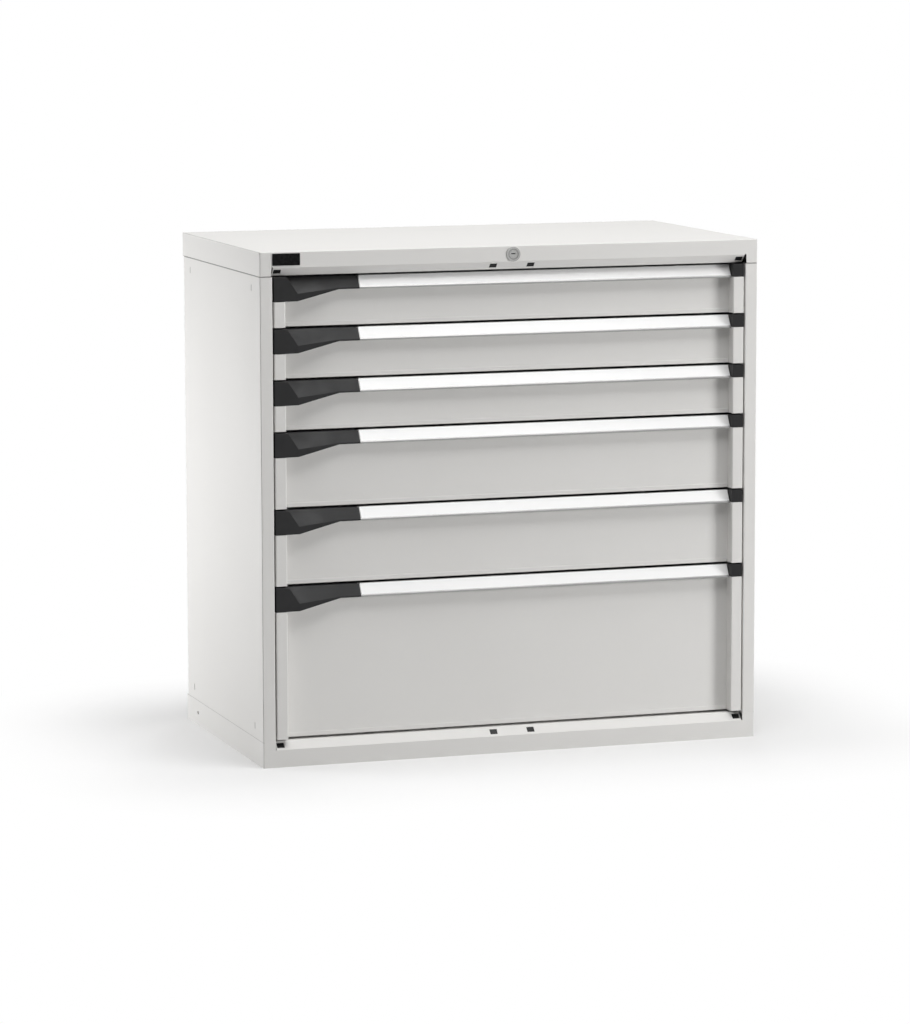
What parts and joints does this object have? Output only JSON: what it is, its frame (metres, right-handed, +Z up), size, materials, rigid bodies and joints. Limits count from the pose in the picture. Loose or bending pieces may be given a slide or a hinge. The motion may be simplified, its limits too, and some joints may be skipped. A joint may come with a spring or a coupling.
{
  "type": "drawer cabinet",
  "caption": "free-standing sheet-steel workshop drawer cabinet with full-width roller-slide drawers, handle profiles, squeeze latches and a central lock",
  "frame": {"origin": "centre of the bounding box in plan, on the floor", "axes": "X to the right seen from the front, Y to the back (drawers open towards -Y), Z up"},
  "size_m": [1.023, 0.574, 1],
  "materials": {
    "cabinet_paint": "fine-textured satin powder coat",
    "front_paint": "fine-textured satin powder coat",
    "tray_paint": "satin powder coat",
    "zinc_steel": "zinc-plated",
    "handle_aluminium": "anodised",
    "label_white": "plain white strip",
    "black_plastic": "fine moulded grain",
    "badge_black": "smooth",
    "lock_metal": "satin nickel"
  },
  "bodies": {
    "cabinet": {"left_side_panel": "cabinet_paint", "right_side_panel": "cabinet_paint", "back_panel": "cabinet_paint", "top_cover": "cabinet_paint", "base_frame": "cabinet_paint", "slotted_uprights": "zinc_steel", "cabinet_rails": "zinc_steel", "slot_plugs": "black_plastic", "badge_plate": "badge_black", "lock_cylinder": "lock_metal"},
    "drawer_1": {"drawer_1_tray": "tray_paint", "drawer_1_front": "front_paint", "drawer_1_handle": "handle_aluminium", "drawer_1_label": "label_white", "drawer_1_grip": "black_plastic", "drawer_1_end_cap": "black_plastic"},
    "carriage_1": {"drawer_1_carriage": "zinc_steel"},
    "latch_1": {"drawer_1_latch": "black_plastic"},
    "drawer_2": {"drawer_2_tray": "tray_paint", "drawer_2_front": "front_paint", "drawer_2_handle": "handle_aluminium", "drawer_2_label": "label_white", "drawer_2_grip": "black_plastic", "drawer_2_end_cap": "black_plastic"},
    "carriage_2": {"drawer_2_carriage": "zinc_steel"},
    "latch_2": {"drawer_2_latch": "black_plastic"},
    "drawer_3": {"drawer_3_tray": "tray_paint", "drawer_3_front": "front_paint", "drawer_3_handle": "handle_aluminium", "drawer_3_label": "label_white", "drawer_3_grip": "black_plastic", "drawer_3_end_cap": "black_plastic"},
    "carriage_3": {"drawer_3_carriage": "zinc_steel"},
    "latch_3": {"drawer_3_latch": "black_plastic"},
    "drawer_4": {"drawer_4_tray": "tray_paint", "drawer_4_front": "front_paint", "drawer_4_handle": "handle_aluminium", "drawer_4_label": "label_white", "drawer_4_grip": "black_plastic", "drawer_4_end_cap": "black_plastic"},
    "carriage_4": {"drawer_4_carriage": "zinc_steel"},
    "latch_4": {"drawer_4_latch": "black_plastic"},
    "drawer_5": {"drawer_5_tray": "tray_paint", "drawer_5_front": "front_paint", "drawer_5_handle": "handle_aluminium", "drawer_5_label": "label_white", "drawer_5_grip": "black_plastic", "drawer_5_end_cap": "black_plastic"},
    "carriage_5": {"drawer_5_carriage": "zinc_steel"},
    "latch_5": {"drawer_5_latch": "black_plastic"},
    "drawer_6": {"drawer_6_tray": "tray_paint", "drawer_6_front": "front_paint", "drawer_6_handle": "handle_aluminium", "drawer_6_label": "label_white", "drawer_6_grip": "black_plastic", "drawer_6_end_cap": "black_plastic"},
    "carriage_6": {"drawer_6_carriage": "zinc_steel"},
    "latch_6": {"drawer_6_latch": "black_plastic"},
    "lock_plug": {"lock_plug": "lock_metal"},
    "lock_bar": {"lock_bar": "zinc_steel"}
  },
  "joints": [
    {"name": "drawer_1_slide", "type": "slide", "parent": "cabinet", "child": "drawer_1", "axis": [0, -1, 0], "range_m": [0, 0.459]},
    {"name": "carriage_1_slide", "type": "slide", "parent": "cabinet", "child": "carriage_1", "axis": [0, -1, 0], "range_m": [0, 0.2295]},
    {"name": "latch_1_squeeze", "type": "hinge", "parent": "drawer_1", "child": "latch_1", "pos_m": [-0.47, -0.272, 0.9385], "axis": [-1, 0, 0], "range_deg": [0, 12], "stiffness_Nm_per_rad": 0.3, "springref_deg": -5.73},
    {"name": "drawer_2_slide", "type": "slide", "parent": "cabinet", "child": "drawer_2", "axis": [0, -1, 0], "range_m": [0, 0.459]},
    {"name": "carriage_2_slide", "type": "slide", "parent": "cabinet", "child": "carriage_2", "axis": [0, -1, 0], "range_m": [0, 0.2295]},
    {"name": "latch_2_squeeze", "type": "hinge", "parent": "drawer_2", "child": "latch_2", "pos_m": [-0.47, -0.272, 0.8385], "axis": [-1, 0, 0], "range_deg": [0, 12], "stiffness_Nm_per_rad": 0.3, "springref_deg": -5.73},
    {"name": "drawer_3_slide", "type": "slide", "parent": "cabinet", "child": "drawer_3", "axis": [0, -1, 0], "range_m": [0, 0.459]},
    {"name": "carriage_3_slide", "type": "slide", "parent": "cabinet", "child": "carriage_3", "axis": [0, -1, 0], "range_m": [0, 0.2295]},
    {"name": "latch_3_squeeze", "type": "hinge", "parent": "drawer_3", "child": "latch_3", "pos_m": [-0.47, -0.272, 0.7385], "axis": [-1, 0, 0], "range_deg": [0, 12], "stiffness_Nm_per_rad": 0.3, "springref_deg": -5.73},
    {"name": "drawer_4_slide", "type": "slide", "parent": "cabinet", "child": "drawer_4", "axis": [0, -1, 0], "range_m": [0, 0.459]},
    {"name": "carriage_4_slide", "type": "slide", "parent": "cabinet", "child": "carriage_4", "axis": [0, -1, 0], "range_m": [0, 0.2295]},
    {"name": "latch_4_squeeze", "type": "hinge", "parent": "drawer_4", "child": "latch_4", "pos_m": [-0.47, -0.272, 0.6385], "axis": [-1, 0, 0], "range_deg": [0, 12], "stiffness_Nm_per_rad": 0.3, "springref_deg": -5.73},
    {"name": "drawer_5_slide", "type": "slide", "parent": "cabinet", "child": "drawer_5", "axis": [0, -1, 0], "range_m": [0, 0.459]},
    {"name": "carriage_5_slide", "type": "slide", "parent": "cabinet", "child": "carriage_5", "axis": [0, -1, 0], "range_m": [0, 0.2295]},
    {"name": "latch_5_squeeze", "type": "hinge", "parent": "drawer_5", "child": "latch_5", "pos_m": [-0.47, -0.272, 0.4885], "axis": [-1, 0, 0], "range_deg": [0, 12], "stiffness_Nm_per_rad": 0.3, "springref_deg": -5.73},
    {"name": "drawer_6_slide", "type": "slide", "parent": "cabinet", "child": "drawer_6", "axis": [0, -1, 0], "range_m": [0, 0.459]},
    {"name": "carriage_6_slide", "type": "slide", "parent": "cabinet", "child": "carriage_6", "axis": [0, -1, 0], "range_m": [0, 0.2295]},
    {"name": "latch_6_squeeze", "type": "hinge", "parent": "drawer_6", "child": "latch_6", "pos_m": [-0.47, -0.272, 0.3385], "axis": [-1, 0, 0], "range_deg": [0, 12], "stiffness_Nm_per_rad": 0.3, "springref_deg": -5.73},
    {"name": "lock_turn", "type": "hinge", "parent": "cabinet", "child": "lock_plug", "pos_m": [0, -0.285, 0.9835], "axis": [0, 1, 0], "range_deg": [0, 90]},
    {"name": "lock_bar_lift", "type": "slide", "parent": "cabinet", "child": "lock_bar", "axis": [0, 0, 1], "range_m": [0, 0.01414]}
  ],
  "couplings": [
    {"joint": "carriage_1_slide", "follows": "drawer_1_slide", "ratio": 0.5},
    {"joint": "carriage_2_slide", "follows": "drawer_2_slide", "ratio": 0.5},
    {"joint": "carriage_3_slide", "follows": "drawer_3_slide", "ratio": 0.5},
    {"joint": "carriage_4_slide", "follows": "drawer_4_slide", "ratio": 0.5},
    {"joint": "carriage_5_slide", "follows": "drawer_5_slide", "ratio": 0.5},
    {"joint": "carriage_6_slide", "follows": "drawer_6_slide", "ratio": 0.5},
    {"joint": "lock_turn", "follows": "lock_bar_lift", "rad_per_m": 111.07}
  ]
}
